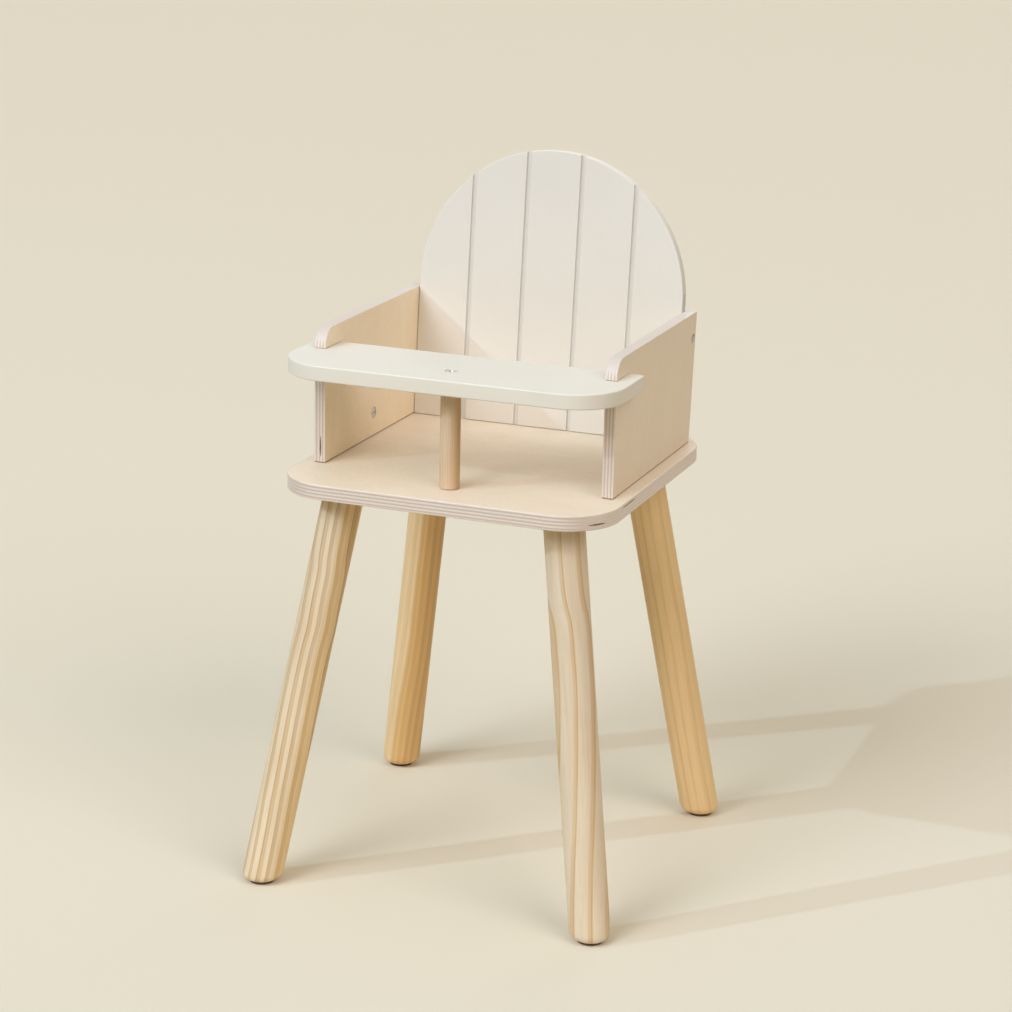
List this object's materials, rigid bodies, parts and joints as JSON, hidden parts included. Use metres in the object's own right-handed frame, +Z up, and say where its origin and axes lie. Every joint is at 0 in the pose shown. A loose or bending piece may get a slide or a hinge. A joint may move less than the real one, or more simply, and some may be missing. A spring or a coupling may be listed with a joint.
{
  "type": "doll high chair",
  "caption": "Wooden doll high chair: plywood seat and side panels, reclined arched back, slotted-in tray on a post, and splayed round legs with foot pads.",
  "frame": {"origin": "on the floor, under the middle of the chair", "axes": "+Z up, -Y the way the chair faces, +X to the right of a viewer who stands in front of it"},
  "size_m": [0.3066, 0.3086, 0.5562],
  "materials": {
    "birch_ply": "clear-lacquered birch plywood, plies bare at the edges",
    "white_paint": "board under warm white satin paint",
    "pine": "turned pine with long golden grain, clear satin lacquer",
    "beech": "plain hardwood dowel",
    "steel": "zinc-plated steel",
    "dark_rubber": "matt dark foot pad"
  },
  "bodies": {
    "root": {"seat_board": "birch_ply", "side_panel_left": "birch_ply", "side_panel_right": "birch_ply", "back_panel": "white_paint", "tray_board": "white_paint", "tray_post": "pine", "leg_front_left": "pine", "leg_front_right": "pine", "leg_rear_left": "pine", "leg_rear_right": "pine", "foot_pad_front_left": "dark_rubber", "foot_pad_front_right": "dark_rubber", "foot_pad_rear_left": "dark_rubber", "foot_pad_rear_right": "dark_rubber", "leg_bolt_front_left": "steel", "leg_bolt_front_right": "steel", "leg_bolt_rear_left": "steel", "leg_bolt_rear_right": "steel", "leg_insert_front_left": "steel", "leg_insert_front_right": "steel", "leg_insert_rear_left": "steel", "leg_insert_rear_right": "steel", "panel_bolt_left": "steel", "panel_bolt_right": "steel", "barrel_nut_left": "steel", "barrel_nut_right": "steel", "panel_pin_front_left": "beech", "panel_pin_rear_left": "beech", "panel_pin_front_right": "beech", "panel_pin_rear_right": "beech", "back_pin_left": "beech", "back_pin_right": "beech", "back_screw_left": "steel", "back_screw_right": "steel", "tray_screw": "steel", "post_screw": "steel"}
  },
  "joints": []
}
